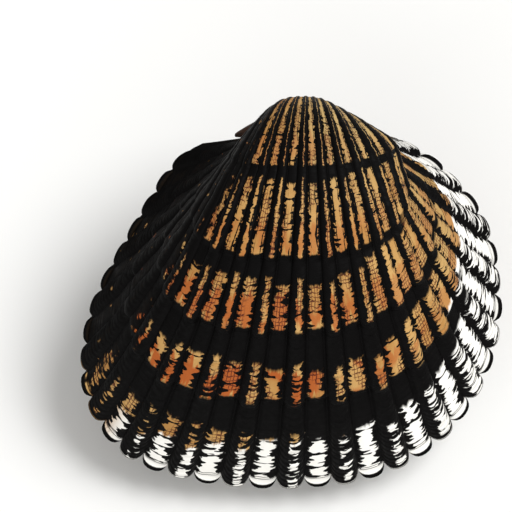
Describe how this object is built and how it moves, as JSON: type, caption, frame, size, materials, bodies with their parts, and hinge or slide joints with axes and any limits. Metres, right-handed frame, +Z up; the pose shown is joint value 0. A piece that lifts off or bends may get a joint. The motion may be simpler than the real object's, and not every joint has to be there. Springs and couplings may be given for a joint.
{
  "type": "cockle shell",
  "caption": "Closed cockle shell: two strongly cupped valves with scaly ribs, stepped growth bands and a dark ligament behind the beaks, lying on one side.",
  "frame": {"origin": "centre of the bounding box, on the floor the shell lies on", "axes": "+X along the shell's length, to the right in the picture; +Y from the lower margin towards the beaks; +Z up. The plane between the valves leans about 27 degrees about X, beaks up"},
  "size_m": [0.06, 0.0528, 0.0409],
  "materials": {
    "shell": "matt lime shell, tan with dark brown bands",
    "ligament": "dry horny band, dark brown"
  },
  "bodies": {
    "root": {"upper_valve": "shell", "lower_valve": "shell", "ligament": "ligament"}
  },
  "joints": []
}
